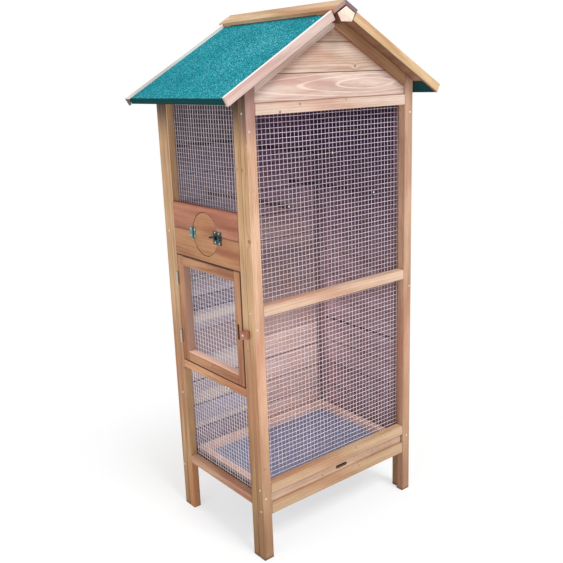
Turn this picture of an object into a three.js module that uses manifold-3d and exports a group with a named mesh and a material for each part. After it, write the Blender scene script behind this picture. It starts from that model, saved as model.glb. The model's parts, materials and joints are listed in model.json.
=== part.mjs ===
// Wooden bird cage: a tall stained-fir cabinet on four legs, with wire mesh at the front and on the
// left, boarded walls at the back and on the right, and a felted gable roof.
// Millimetres, +Z up. The origin is on the ground under the middle of the cage, +X runs right along
// the gable front, and the front looks towards -Y.
import * as THREE from 'three';
import { mergeVertices, toCreasedNormals } from 'three/addons/utils/BufferGeometryUtils.js';
import Module from 'manifold-3d';

const wasm = await Module();
wasm.setup();

// Overall frame
const cageWidth = 568;
const cageDepth = 402;
const postWidth = 30;
const postDepth = 25;
const stileWidth = 25;
const sideThickness = 22;

// Gaps and small shapes that many pieces share
const fit = 0.3;
const arris = 1.2;
const cutOverrun = 5;
const creaseAngle = THREE.MathUtils.degToRad(35);

// Heights of the front frame
const lowerRailBottom = 131.5;
const lowerRailHeight = 32;
const drawerOpening = 28.5;
const bottomRailHeight = 28;
const middleRailBottom = 683;
const topRailBottom = 1173;
const frontRailHeight = 27;

// Heights of the left frame
const sideBottomRailBottom = 152.5;
const sideMiddleRailBottom = 460.5;
const sideRailHeight = 24;
const nestPanelBottom = 796;
const nestPanelHeight = 145;
const nestSeamRise = 75.5;

// Roof
const roofSlope = THREE.MathUtils.degToRad(30);
const gableSideHeight = 25;
const roofBoardThickness = 12;
const eaveOverhang = 66;
const feltThickness = 2;
const feltTuck = 60;
const feltBend = 4;
const rafterDepth = 26;
const bargeWidth = 24;
const bargeRise = 11;
const bargeThickness = 8;
const bargeProud = 9.3;
const bargeSetback = 1;
const frontOverhang = 26;
const backOverhang = 18;
const ridgeBeamSide = 22;
const ridgeBeamFlank = 33;
const ridgeBeamFrontProud = 8;
const ridgeBeamBackProud = 16;
const ridgeCapWidth = 39.5;
const ridgeCapThickness = 11;
const ridgeCapSetback = 3;

// Boards of the gable and the walls
const wallThickness = 12;
const wallRecess = 5;
const wallBoardPitch = 77;
const backSeamHeight = 236;
const rightSeamHeight = 254;
const grooveDepth = 2.4;
const grooveWidth = 4;
const lapHeight = 6;
const boardChamfer = 2;
const gableLowerBoardShare = 0.373;
const gableMiddleBoardShare = 0.414;
const backWallBottom = 136;

// Wire mesh: the solids carry every fourth wire of the welded half-inch net
const wirePitch = 12.7;
const wiresPerCell = 4;
const wireWidth = 1.6;
const netThickness = 1.4;
const netOverlap = 12;
const doorNetOverlap = 5;

// Nest panel and its round door
const nestBoardThickness = 14;
const nestDoorRadius = 57;
const nestDoorGap = 1.5;
const nestDoorOffset = -1;
const nestDoorRise = 74;

// Access door
const doorMember = 28;
const doorLatchGap = 3;
const doorHingeGap = 2.4;
const doorRailGap = 2.2;
const slotLength = 43;
const doorSlotWidth = 8.5;
const drawerSlotWidth = 11;
const doorSlotInset = 17.5;
const doorSlotRise = 148.3;

// Hinges
const leafThickness = 0.9;
const doorHingeHeight = 38;
const doorHingeReach = 20;
const doorBarrelRadius = 3.2;
const upperHingeFromTop = 68.5;
const lowerHingeFromBottom = 69;
const nestHingeHeight = 30.5;
const nestHingeDrop = 2.2;
const nestHingeReach = 13.5;
const nestBarrelRadius = 2.5;
const hingePinShare = 0.42;
const hingeBoreShare = 0.56;
const knuckleCount = 3;

// Turn button that holds the access door
const buttonLongEnd = 19;
const buttonShortEnd = 10;
const buttonWidth = 22;
const buttonThickness = 9;
const buttonCorner = 5;
const buttonTilt = THREE.MathUtils.degToRad(-12.6);
const buttonFromDoorway = 11;
const buttonAboveSlot = 0.5;
const buttonSpacerRadius = 6;
const buttonSpacerThickness = 1.2;

// Barrel bolt of the nest door
const boltRadius = 2.7;
const boltLength = 23;
const boltDrop = 2;
const boltPlateHeight = 34;
const boltPlateLength = 16;
const boltPlateThickness = 1.2;
const boltBowWall = 1.5;
const boltBowLength = 7;
const boltPlateSetback = 1.8;
const boltTipSetback = 0.6;
const keeperSetback = 1;
const knobRadius = 2.8;
const knobStem = 2.4;
const boltRunningGap = 0.35;

// Drawer and the frame that it runs on
const drawerRecess = 7;
const drawerFrontThickness = 18;
const drawerSideGap = 1.2;
const drawerBarWidth = 25;
const drawerBarHeight = 25.2;
const drawerBackGap = 14;
const drawerLedgeWidth = 5;
const drawerLedgeHeight = 5.5;
const drawerSheetThickness = 1;
const runnerWidth = 21;
const runnerHeight = 23;

// Perches
const perchDiameter = 12;
const perchChamfer = 1.5;
const perchMiddle = 5;
const perchSpread = 150;
const lowPerchHeight = 944;
const highPerchHeight = 1064;

// Derived planes
const front = -cageDepth / 2;
const back = cageDepth / 2;
const left = -cageWidth / 2;
const right = cageWidth / 2;
const openingHalfWidth = right - postWidth;
const openingHalfDepth = back - postDepth - stileWidth;
const bottomRailBottom = lowerRailBottom + lowerRailHeight + drawerOpening;
const topRailTop = topRailBottom + frontRailHeight;
const netCell = wirePitch * wiresPerCell;

// Derived places on the left side
const nestPanelTop = nestPanelBottom + nestPanelHeight;
const nestSeam = nestPanelBottom + nestSeamRise;
const nestDoorHeight = nestPanelBottom + nestDoorRise;
const doorBottom = sideMiddleRailBottom + sideRailHeight + doorRailGap;
const doorTop = nestPanelBottom - doorRailGap;
const doorFrontEdge = -openingHalfDepth + doorLatchGap;
const doorBackEdge = openingHalfDepth - doorHingeGap;
const doorSlotHeight = doorBottom + doorSlotRise;
const boltHeight = nestDoorHeight - boltDrop;

// The ridge plane is the top of the roof boards, carried up to the ridge line. Other planes of the
// roof are told by how far they lie out from it.
const slopeCos = Math.cos(roofSlope);
const slopeSin = Math.sin(roofSlope);
const postTopOffset = -roofBoardThickness - fit;
const rafterFoot = postTopOffset - rafterDepth;
const ridgePlaneHeight = topRailTop + gableSideHeight - rafterFoot / slopeCos
  + openingHalfWidth * Math.tan(roofSlope);
const roofBoardReach = (right + eaveOverhang) / slopeCos;
const flushBargeProud = fit + feltThickness;
const roofStart = front - frontOverhang + fit;
const roofLength = back + backOverhang - fit - roofStart;
const frontBargePlane = front - frontOverhang - bargeThickness;
const backBargePlane = back + backOverhang;
const sideTopRailBottom = roofHeight(postTopOffset, left) - fit - sideRailHeight;

const fir = new THREE.MeshStandardMaterial({ color: 0xc08a5b, roughness: 0.72, metalness: 0 });
const redFir = new THREE.MeshStandardMaterial({ color: 0xa8664a, roughness: 0.72, metalness: 0 });
const paleFir = new THREE.MeshStandardMaterial({ color: 0xd0a07c, roughness: 0.75, metalness: 0 });
const felt = new THREE.MeshStandardMaterial({ color: 0x1f7f7c, roughness: 0.95, metalness: 0 });
const wire = new THREE.MeshStandardMaterial({ color: 0xb9b4c0, roughness: 0.4, metalness: 0.9 });
const zinc = new THREE.MeshStandardMaterial({ color: 0xa9b3b5, roughness: 0.35, metalness: 1 });
const sheetZinc = new THREE.MeshStandardMaterial({ color: 0x8a9bb0, roughness: 0.5, metalness: 0.8 });

// Points of the roof section: along the slope from the ridge line, and out from the ridge plane
function roofPoint(along, out, hand = 1) {
  return [
    hand * (along * slopeCos + out * slopeSin),
    ridgePlaneHeight - along * slopeSin + out * slopeCos,
  ];
}

// Height of the plane that lies `out` from the ridge plane, at a distance from the middle
function roofHeight(out, distance) {
  return ridgePlaneHeight + out / slopeCos - Math.abs(distance) * Math.tan(roofSlope);
}

function rectangle(low, high) {
  return [[low[0], low[1]], [high[0], low[1]], [high[0], high[1]], [low[0], high[1]]];
}

function mirrored(outline) {
  return outline.map(([across, up]) => [-across, up]);
}

function arc(centre, radius, from, to, steps) {
  const points = [];
  for (let step = 0; step <= steps; step += 1) {
    const angle = from + (to - from) * step / steps;
    points.push([centre[0] + radius * Math.cos(angle), centre[1] + radius * Math.sin(angle)]);
  }
  return points;
}

function shapeOf(outline) {
  return new THREE.Shape(outline.map(([across, up]) => new THREE.Vector2(across, up)));
}

// A prism whose two end faces have their edges taken off, as a planed stick has
function chamferedPrism(outline, length, edge, holes = []) {
  const shape = shapeOf(outline);
  shape.holes = holes.map(shapeOf);
  const stick = new THREE.ExtrudeGeometry(shape, {
    depth: length - 2 * edge,
    bevelEnabled: edge > 0,
    bevelThickness: edge,
    bevelSize: edge,
    bevelOffset: -edge,
    bevelSegments: 1,
    steps: 1,
  });
  return stick.translate(0, 0, edge);
}

// A prism along x (outline in y, z), along y (outline in x, z) or along z (outline in x, y)
function prism(name, axis, outline, start, length, material, edge = arris, holes = []) {
  return placed(name, axis, chamferedPrism(outline, length, edge, holes), start, length, material);
}

// Turns a shape that was made along z, and stands it between two planes of the named axis
function placed(name, axis, geometry, start, length, material) {
  const mesh = new THREE.Mesh(geometry, material);
  mesh.name = name;
  if (axis === 'x') {
    mesh.rotation.set(Math.PI / 2, Math.PI / 2, 0);
    mesh.position.x = start;
  } else if (axis === 'y') {
    mesh.rotation.x = Math.PI / 2;
    mesh.position.y = start + length;
  } else {
    mesh.position.z = start;
  }
  return mesh;
}

function rod(radius, length, axis, start, across, up, sides) {
  const mesh = new THREE.Mesh(new THREE.CylinderGeometry(radius, radius, length, sides));
  const middle = start + length / 2;
  if (axis === 'x') {
    mesh.rotation.z = Math.PI / 2;
    mesh.position.set(middle, across, up);
  } else if (axis === 'y') {
    mesh.position.set(across, middle, up);
  } else {
    mesh.rotation.x = Math.PI / 2;
    mesh.position.set(across, up, middle);
  }
  return mesh;
}

function solidOf(mesh) {
  mesh.updateMatrix();
  const bare = mesh.geometry.clone().applyMatrix4(mesh.matrix);
  bare.deleteAttribute('normal');
  bare.deleteAttribute('uv');
  const merged = mergeVertices(bare);
  return new wasm.Manifold(new wasm.Mesh({
    numProp: 3,
    vertProperties: new Float32Array(merged.attributes.position.array),
    triVerts: new Uint32Array(merged.index.array),
  }));
}

function meshOf(name, solid, material) {
  const { vertProperties, triVerts } = solid.getMesh();
  const geometry = new THREE.BufferGeometry();
  geometry.setAttribute('position', new THREE.BufferAttribute(new Float32Array(vertProperties), 3));
  geometry.setIndex(new THREE.BufferAttribute(new Uint32Array(triVerts), 1));
  const mesh = new THREE.Mesh(toCreasedNormals(geometry, creaseAngle), material);
  mesh.name = name;
  return mesh;
}

function joined(name, material, pieces) {
  const whole = pieces.map(solidOf).reduce((sum, solid) => sum.add(solid));
  return meshOf(name, whole, material);
}

function cut(mesh, ...tools) {
  const rest = tools.map(solidOf).reduce((body, tool) => body.subtract(tool), solidOf(mesh));
  return meshOf(mesh.name, rest, mesh.material);
}

function clipped(mesh, tool) {
  return meshOf(mesh.name, solidOf(mesh).intersect(solidOf(tool)), mesh.material);
}

// Posts and stiles stand on the ground and are cut off under the roof boards
function uprightOutline(inner, outer) {
  return [
    [inner, 0],
    [outer, 0],
    [outer, roofHeight(postTopOffset, outer)],
    [inner, roofHeight(postTopOffset, inner)],
  ];
}

function cornerUprights() {
  const pieces = [];
  const corners = [
    ['front_left_post', left, front, left + postWidth, postDepth],
    ['front_right_post', right, front, openingHalfWidth, postDepth],
    ['back_left_post', left, back - postDepth, left + postWidth, postDepth],
    ['back_right_post', right, back - postDepth, openingHalfWidth, postDepth],
    ['left_front_stile', left, front + postDepth + fit, left + sideThickness, stileWidth - fit],
    ['left_back_stile', left, openingHalfDepth, left + sideThickness, stileWidth - fit],
    ['right_front_stile', right, front + postDepth + fit, right - sideThickness, stileWidth - fit],
    ['right_back_stile', right, openingHalfDepth, right - sideThickness, stileWidth - fit],
  ];
  for (const [name, outer, start, inner, depth] of corners) {
    pieces.push(prism(name, 'y', uprightOutline(inner, outer), start, depth, fir));
  }
  return pieces;
}

function frontRail(name, bottom, height) {
  const outline = rectangle([-openingHalfWidth + fit, bottom], [openingHalfWidth - fit, bottom + height]);
  return prism(name, 'y', outline, front, postDepth, fir);
}

function leftRail(name, bottom) {
  const outline = rectangle(
    [-openingHalfDepth + fit, bottom],
    [openingHalfDepth - fit, bottom + sideRailHeight],
  );
  return prism(name, 'x', outline, left, sideThickness, fir);
}

// Rafter section: it fits between the post and the ridge beam, and is notched round the beam
function rafterOutline(hand) {
  const foot = openingHalfWidth - fit;
  const beamFace = ridgeBeamFlank + fit;
  const beamCorner = roofPoint(beamFace, -ridgeBeamSide, hand);
  const underBeam = roofPoint(ridgeBeamFlank, -ridgeBeamSide)[1] - fit;
  const middle = hand * fit / 2;
  return [
    [middle, roofHeight(rafterFoot, middle)],
    [hand * foot, roofHeight(rafterFoot, foot)],
    [hand * foot, roofHeight(postTopOffset, foot)],
    roofPoint(beamFace, postTopOffset, hand),
    [beamCorner[0], underBeam],
    [middle, underBeam],
  ];
}

function gableOutline(bottom) {
  const foot = openingHalfWidth - fit;
  const under = rafterFoot - fit;
  return [
    [-foot, bottom],
    [foot, bottom],
    [foot, roofHeight(under, foot)],
    [0, roofHeight(under, 0)],
    [-foot, roofHeight(under, foot)],
  ];
}

// Shiplap board: the front lip hangs over the tongue of the board below
function shiplapSection(bottom, top, hasLip, hasTongue) {
  const face = front + wallRecess;
  const middle = face + wallThickness / 2;
  const rear = face + wallThickness;
  const lip = [[middle - fit / 2, bottom], [middle - fit / 2, bottom + lapHeight]];
  const tongueTop = top + lapHeight - fit;
  const tongue = [[rear, tongueTop], [middle + fit / 2, tongueTop], [middle + fit / 2, top - fit]];
  return [
    [face, bottom + boardChamfer],
    [face + boardChamfer, bottom],
    ...(hasLip ? lip : []),
    [rear, hasLip ? bottom + lapHeight : bottom],
    ...(hasTongue ? tongue : [[rear, top - fit]]),
    [face, top - fit],
  ];
}

function gableBoards() {
  const bottom = topRailTop + fit;
  const peak = roofHeight(rafterFoot, 0);
  const lowerSeam = topRailTop + (peak - topRailTop) * gableLowerBoardShare;
  const upperSeam = lowerSeam + (peak - topRailTop) * gableMiddleBoardShare;
  const field = prism('gable_field', 'y', gableOutline(bottom), front, postDepth, fir, 0);
  const boards = [
    ['gable_lower_board', bottom, lowerSeam, false, true],
    ['gable_middle_board', lowerSeam, upperSeam, true, true],
    ['gable_top_board', upperSeam, peak, true, false],
  ];
  return boards.map(([name, low, high, hasLip, hasTongue]) => {
    const section = shiplapSection(low, high, hasLip, hasTongue);
    return clipped(prism(name, 'x', section, left, cageWidth, paleFir, 0), field);
  });
}

function frontRafters() {
  return [
    prism('front_left_rafter', 'y', rafterOutline(-1), front, postDepth, fir),
    prism('front_right_rafter', 'y', rafterOutline(1), front, postDepth, fir),
  ];
}

// The two back rafters are one piece, joined under the ridge beam
function backRafters() {
  const half = rafterOutline(1).slice(1, -1);
  const lowerPeak = [0, roofHeight(rafterFoot, 0)];
  const outline = [lowerPeak, ...half, ...mirrored(half).reverse()];
  return prism('back_rafters', 'y', outline, back - postDepth, postDepth, fir);
}

// Section of a boarded wall, with a groove on both faces where two boards meet
function boardedSection(face, bottom, top, firstSeam) {
  const seams = [];
  for (let seam = firstSeam; seam < top - grooveWidth; seam += wallBoardPitch) {
    if (seam > bottom + grooveWidth) seams.push(seam);
  }
  const rear = face + wallThickness;
  const groove = (edge, depth) => seams.flatMap((seam) => [
    [edge, seam - grooveWidth / 2],
    [edge + depth, seam],
    [edge, seam + grooveWidth / 2],
  ]);
  return [
    [face, bottom],
    ...groove(face, grooveDepth),
    [face, top],
    [rear, top],
    ...groove(rear, -grooveDepth).reverse(),
    [rear, bottom],
  ];
}

function backWall() {
  const face = back - wallRecess - wallThickness;
  const firstSeam = backSeamHeight - wallBoardPitch;
  const section = boardedSection(face, backWallBottom, ridgePlaneHeight, firstSeam);
  const boards = prism('back_wall_boards', 'x', section, left, cageWidth, fir, 0);
  const field = prism('back_field', 'y', gableOutline(backWallBottom), face - cutOverrun,
    wallThickness + 2 * cutOverrun, fir, 0);
  return clipped(boards, field);
}

function rightWall() {
  const face = right - wallRecess - wallThickness;
  const top = roofHeight(postTopOffset, right) - fit;
  const firstSeam = rightSeamHeight - wallBoardPitch;
  const section = boardedSection(face, sideBottomRailBottom, top, firstSeam);
  const length = 2 * (openingHalfDepth - fit);
  return prism('right_wall_boards', 'y', section, -openingHalfDepth + fit, length, fir, 0);
}

// Edges of the wires between two ends: strips at even places are wire, at odd places open
function wireEdges(low, high) {
  const cells = Math.round((high - low) / netCell);
  const step = (high - low - wireWidth) / cells;
  const edges = [];
  for (let cell = 0; cell <= cells; cell += 1) {
    edges.push(low + cell * step, low + cell * step + wireWidth);
  }
  return edges;
}

// Welded net: a flat lattice whose outer wires lie on the frame
function net(name, axis, low, high, plane) {
  const across = wireEdges(low[0], high[0]);
  const up = wireEdges(low[1], high[1]);
  const positions = [];
  for (const depth of [0, netThickness]) {
    for (const height of up) {
      for (const side of across) positions.push(side, height, depth);
    }
  }
  const corner = (i, j, k) => (k * up.length + j) * across.length + i;
  const isWire = (i, j) => i >= 0 && j >= 0 && i < across.length - 1 && j < up.length - 1
    && !(i % 2 === 1 && j % 2 === 1);
  const indices = [];
  const quad = (a, b, c, d) => indices.push(a, b, c, a, c, d);
  for (let i = 0; i < across.length - 1; i += 1) {
    for (let j = 0; j < up.length - 1; j += 1) {
      if (!isWire(i, j)) continue;
      const lower = [corner(i, j, 0), corner(i + 1, j, 0), corner(i + 1, j + 1, 0), corner(i, j + 1, 0)];
      const upper = lower.map((index) => index + across.length * up.length);
      quad(lower[3], lower[2], lower[1], lower[0]);
      quad(...upper);
      const sides = [[i, j - 1, 0, 1], [i + 1, j, 1, 2], [i, j + 1, 2, 3], [i - 1, j, 3, 0]];
      for (const [column, row, from, to] of sides) {
        if (!isWire(column, row)) quad(lower[from], lower[to], upper[to], upper[from]);
      }
    }
  }
  const lattice = new THREE.BufferGeometry();
  lattice.setAttribute('position', new THREE.Float32BufferAttribute(positions, 3));
  lattice.setIndex(indices);
  return placed(name, axis, toCreasedNormals(lattice, creaseAngle), plane, netThickness, wire);
}

function frontNet() {
  const edge = openingHalfWidth + sideThickness / 4;
  const low = [-edge, bottomRailBottom + bottomRailHeight - netOverlap];
  const high = [edge, topRailBottom + netOverlap];
  return net('front_mesh', 'y', low, high, front + postDepth + fit);
}

function leftNets() {
  const edge = openingHalfDepth + netOverlap;
  const plane = left + sideThickness + fit;
  return [
    net('left_upper_mesh', 'x', [-edge, nestPanelTop - netOverlap],
      [edge, sideTopRailBottom + netOverlap], plane),
    net('left_lower_mesh', 'x', [-edge, sideBottomRailBottom + sideRailHeight - netOverlap],
      [edge, sideMiddleRailBottom + netOverlap], plane),
  ];
}

function nestHole() {
  return rod(nestDoorRadius + nestDoorGap, nestBoardThickness + 2 * cutOverrun, 'x',
    left - cutOverrun, nestDoorOffset, nestDoorHeight, 64);
}

// Two boards, half lapped along the seam, with the round hole cut through both
function nestBoards() {
  const edge = openingHalfDepth - fit;
  const rebate = nestBoardThickness / 2;
  const rear = left + nestBoardThickness;
  const middle = left + rebate;
  const lower = [
    [left, nestPanelBottom], [rear, nestPanelBottom], [rear, nestSeam + lapHeight - fit],
    [middle + fit / 2, nestSeam + lapHeight - fit], [middle + fit / 2, nestSeam - fit],
    [left, nestSeam - fit],
  ];
  const upper = [
    [left, nestSeam], [middle - fit / 2, nestSeam], [middle - fit / 2, nestSeam + lapHeight],
    [rear, nestSeam + lapHeight], [rear, nestPanelTop], [left, nestPanelTop],
  ];
  const length = 2 * edge;
  return [
    cut(prism('nest_upper_board', 'y', upper, -edge, length, redFir, 0), nestHole()),
    cut(prism('nest_lower_board', 'y', lower, -edge, length, fir, 0), nestHole()),
  ];
}

function nestDoor() {
  const circle = arc([nestDoorOffset, nestDoorHeight], nestDoorRadius, 0, 2 * Math.PI, 64).slice(1);
  return prism('nest_door', 'x', circle, left, nestBoardThickness, fir);
}

// One leaf of a butt hinge in its own frame: the pin is on z, the leaf runs along +x, and its plate
// lies between two distances on the y axis. The leaf with the outer knuckles carries the pin.
function hingeLeaf(name, height, reach, barrelRadius, plateLow, plateHigh, hasPin) {
  const knuckle = height / knuckleCount;
  const ends = hasPin
    ? [[-height / 2, -knuckle / 2 - fit / 2], [knuckle / 2 + fit / 2, height / 2]]
    : [[-knuckle / 2 + fit / 2, knuckle / 2 - fit / 2]];
  const neck = barrelRadius + fit;
  const pieces = [
    prism('plate', 'z', rectangle([neck, plateLow], [reach, plateHigh]), -height / 2, height, zinc, 0),
  ];
  for (const [low, high] of ends) {
    const web = rectangle([0, plateLow], [neck + fit, plateHigh]);
    pieces.push(prism('web', 'z', web, low, high - low, zinc, 0));
    pieces.push(rod(barrelRadius, high - low, 'z', low, 0, 0, 20));
  }
  if (hasPin) {
    pieces.push(rod(barrelRadius * hingePinShare, height, 'z', -height / 2, 0, 0, 16));
    return joined(name, zinc, pieces);
  }
  const bore = rod(barrelRadius * hingeBoreShare, height, 'z', -height / 2, 0, 0, 16);
  return cut(joined(name, zinc, pieces), bore);
}

const doorPinX = left - doorBarrelRadius - fit;
const doorPinY = openingHalfDepth - doorHingeGap / 2;

// Butt hinges let into the seam behind the door, with only their barrels outside
function doorHinge(prefix, height) {
  const near = fit / 2;
  const far = near + leafThickness;
  const frameLeaf = hingeLeaf(`${prefix}_hinge_frame_leaf`, doorHingeHeight, doorHingeReach,
    doorBarrelRadius, near, far, true);
  const doorLeaf = hingeLeaf(`${prefix}_hinge_door_leaf`, doorHingeHeight, doorHingeReach,
    doorBarrelRadius, -far, -near, false);
  for (const leaf of [frameLeaf, doorLeaf]) leaf.position.set(doorPinX, doorPinY, height);
  return [frameLeaf, doorLeaf];
}

const nestPinX = left - nestBarrelRadius - fit;
const nestPinY = nestDoorOffset + nestDoorRadius + nestDoorGap / 2;

// A small face hinge: both leaves lie on the boards
function nestHinge() {
  const far = nestBarrelRadius;
  const near = nestBarrelRadius - leafThickness;
  const frameLeaf = hingeLeaf('nest_hinge_frame_leaf', nestHingeHeight, nestHingeReach,
    nestBarrelRadius, -far, -near, true);
  frameLeaf.rotation.z = Math.PI / 2;
  const doorLeaf = hingeLeaf('nest_hinge_door_leaf', nestHingeHeight, nestHingeReach,
    nestBarrelRadius, near, far, false);
  doorLeaf.rotation.z = -Math.PI / 2;
  for (const leaf of [frameLeaf, doorLeaf]) {
    leaf.position.set(nestPinX, nestPinY, nestDoorHeight - nestHingeDrop);
  }
  return [frameLeaf, doorLeaf];
}

const boltBore = boltRadius + boltRunningGap;
const boltWoodFace = left - fit;
const boltPlateFace = boltWoodFace - boltPlateThickness;
const boltAxisX = boltPlateFace - boltBore;

// A plate screwed to the wood, with a bow over the front of it that the bolt runs through
function boltGuide(name, start) {
  const outer = boltBore + boltBowWall;
  const plate = rectangle(
    [boltPlateFace, boltHeight - boltPlateHeight / 2],
    [boltWoodFace, boltHeight + boltPlateHeight / 2],
  );
  const bow = [
    [boltPlateFace + fit, boltHeight + outer],
    ...arc([boltAxisX, boltHeight], outer, Math.PI / 2, 3 * Math.PI / 2, 12),
    [boltPlateFace + fit, boltHeight - outer],
  ];
  const bore = rod(boltBore, boltPlateLength, 'y', start, boltAxisX, boltHeight, 24);
  const guide = joined(name, zinc, [
    prism('plate', 'y', plate, start, boltPlateLength, zinc, 0),
    prism('bow', 'y', bow, start, boltBowLength, zinc, 0),
  ]);
  return cut(guide, bore);
}

const discFrontEdge = nestDoorOffset - nestDoorRadius;
const boltTip = discFrontEdge + boltTipSetback;

// Barrel bolt of the round door, drawn back as it stands
function nestBolt() {
  const keeperEnd = discFrontEdge - nestDoorGap - keeperSetback;
  const shaft = rod(boltRadius, boltLength, 'y', boltTip, boltAxisX, boltHeight, 24);
  const knobY = boltTip + boltLength - knobRadius;
  const knobProfile = [
    new THREE.Vector2(0, 0),
    new THREE.Vector2(knobRadius / 2, 0),
    new THREE.Vector2(knobRadius / 2, knobStem),
    ...arc([0, knobStem + knobRadius], knobRadius, -Math.PI / 3, Math.PI / 2, 8)
      .map(([across, up]) => new THREE.Vector2(Math.max(across, 0), up)),
  ];
  const knob = new THREE.Mesh(new THREE.LatheGeometry(knobProfile, 20));
  knob.rotation.z = Math.PI / 2;
  knob.position.set(boltAxisX, knobY, boltHeight);
  return {
    plate: boltGuide('nest_bolt_plate', discFrontEdge + boltPlateSetback),
    keeper: boltGuide('nest_bolt_keeper', keeperEnd - boltPlateLength),
    bolt: joined('nest_bolt', zinc, [shaft, knob]),
  };
}

// A slot with round ends, worked into the face of a piece as a finger grip
function slotOutline(across, up, width, isUpright) {
  const radius = width / 2;
  const reach = slotLength / 2 - radius;
  if (isUpright) {
    return [
      ...arc([across, up + reach], radius, 0, Math.PI, 8),
      ...arc([across, up - reach], radius, Math.PI, 2 * Math.PI, 8),
    ];
  }
  return [
    ...arc([across + reach, up], radius, -Math.PI / 2, Math.PI / 2, 8),
    ...arc([across - reach, up], radius, Math.PI / 2, 3 * Math.PI / 2, 8),
  ];
}

function accessDoor() {
  const stile = (name, low) => prism(name, 'x',
    rectangle([low, doorBottom], [low + doorMember, doorTop]), left, sideThickness, fir);
  const rail = (name, low) => prism(name, 'x',
    rectangle([doorFrontEdge + doorMember + fit, low], [doorBackEdge - doorMember - fit, low + doorMember]),
    left, sideThickness, fir);
  const slot = slotOutline(doorFrontEdge + doorSlotInset, doorSlotHeight, doorSlotWidth, true);
  const slotCutter = prism('slot', 'x', slot, left - cutOverrun,
    sideThickness + 2 * cutOverrun, fir, 0);
  const inset = doorMember - doorNetOverlap;
  return [
    cut(stile('door_latch_stile', doorFrontEdge), slotCutter),
    stile('door_hinge_stile', doorBackEdge - doorMember),
    rail('door_bottom_rail', doorBottom),
    rail('door_top_rail', doorTop - doorMember),
    net('door_mesh', 'x', [doorFrontEdge + inset, doorBottom + inset],
      [doorBackEdge - inset, doorTop - inset], left + sideThickness + fit),
  ];
}

// The wooden button turns on a screw in the stile. It hangs clear of the door as it stands.
function turnButton() {
  const half = buttonWidth / 2;
  const corner = half - buttonCorner;
  const outline = [
    [buttonShortEnd, -half],
    [buttonShortEnd, half],
    ...arc([-buttonLongEnd + buttonCorner, corner], buttonCorner, Math.PI / 2, Math.PI, 4),
    ...arc([-buttonLongEnd + buttonCorner, -corner], buttonCorner, Math.PI, 3 * Math.PI / 2, 4),
  ];
  const turned = outline.map(([across, up]) => [
    across * Math.cos(buttonTilt) - up * Math.sin(buttonTilt),
    across * Math.sin(buttonTilt) + up * Math.cos(buttonTilt),
  ]);
  const inner = left - fit - buttonSpacerThickness;
  const body = prism('body', 'x', turned, inner - buttonThickness, buttonThickness, redFir);
  const spacer = rod(buttonSpacerRadius, 2 * buttonSpacerThickness, 'x',
    inner - buttonSpacerThickness, 0, 0, 24);
  const button = joined('door_turn_button', redFir, [body, spacer]);
  button.position.y = -openingHalfDepth - buttonFromDoorway;
  button.position.z = doorSlotHeight + buttonAboveSlot;
  return button;
}

// Drawer: a low wooden frame with a front strip, on a zinc sheet
function drawer() {
  const frameBottom = lowerRailBottom + lowerRailHeight + fit;
  const ledgeTop = frameBottom + drawerLedgeHeight;
  const face = front + drawerRecess;
  const frontBack = face + drawerFrontThickness;
  const end = back - wallRecess - wallThickness - drawerBackGap;
  const side = openingHalfWidth - drawerSideGap;
  const stripTop = bottomRailBottom - drawerSideGap;
  const within = (border) => rectangle([-side + border, frontBack], [side - border, end - border]);
  const outline = rectangle([-side, frontBack - fit], [side, end]);
  const ledge = within(drawerBarWidth + drawerLedgeWidth);
  const strip = prism('strip', 'y', rectangle([-side, frameBottom], [side, stripTop]), face,
    drawerFrontThickness, fir);
  const frame = joined('drawer_frame', fir, [
    prism('bars', 'z', outline, frameBottom, drawerBarHeight, fir, 0, [within(drawerBarWidth)]),
    prism('ledge', 'z', outline, frameBottom, drawerLedgeHeight, fir, 0, [ledge]),
    strip,
  ]);
  const slot = slotOutline(perchMiddle, (frameBottom + stripTop) / 2, drawerSlotWidth, false);
  const slotCutter = prism('slot', 'y', slot, face - cutOverrun,
    drawerFrontThickness + 2 * cutOverrun, fir, 0);
  const sheet = rectangle(
    [-side + drawerBarWidth + fit, frontBack + fit],
    [side - drawerBarWidth - fit, end - drawerBarWidth - fit],
  );
  return [
    cut(frame, slotCutter),
    prism('drawer_sheet', 'z', sheet, ledgeTop + fit, drawerSheetThickness, sheetZinc, 0),
  ];
}

// Runners along both sides and a cross bar at the back, one U-shaped frame that carries the drawer
function runnerFrame() {
  const outer = right - sideThickness - fit;
  const inner = outer - runnerWidth;
  const start = front + postDepth + fit;
  const end = back - postDepth - fit;
  const outline = [
    [-outer, start], [-inner, start], [-inner, end - runnerWidth], [inner, end - runnerWidth],
    [inner, start], [outer, start], [outer, end], [-outer, end],
  ];
  const top = lowerRailBottom + lowerRailHeight;
  return prism('drawer_runner_frame', 'z', outline, top - runnerHeight, runnerHeight, fir);
}

function perches() {
  const start = front + postDepth + 2 * fit + netThickness;
  const length = back - wallRecess - wallThickness - fit - start;
  const radius = perchDiameter / 2;
  const profile = [
    [0, 0], [radius - perchChamfer, 0], [radius, perchChamfer],
    [radius, length - perchChamfer], [radius - perchChamfer, length], [0, length],
  ].map(([across, up]) => new THREE.Vector2(across, up));
  const places = [
    ['left_perch', perchMiddle - perchSpread, lowPerchHeight],
    ['right_perch', perchMiddle + perchSpread, lowPerchHeight],
    ['middle_perch', perchMiddle, highPerchHeight],
  ];
  return places.map(([name, across, up]) => {
    const mesh = new THREE.Mesh(new THREE.LatheGeometry(profile, 20), paleFir);
    mesh.name = name;
    mesh.position.set(across, start, up);
    return mesh;
  });
}

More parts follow.
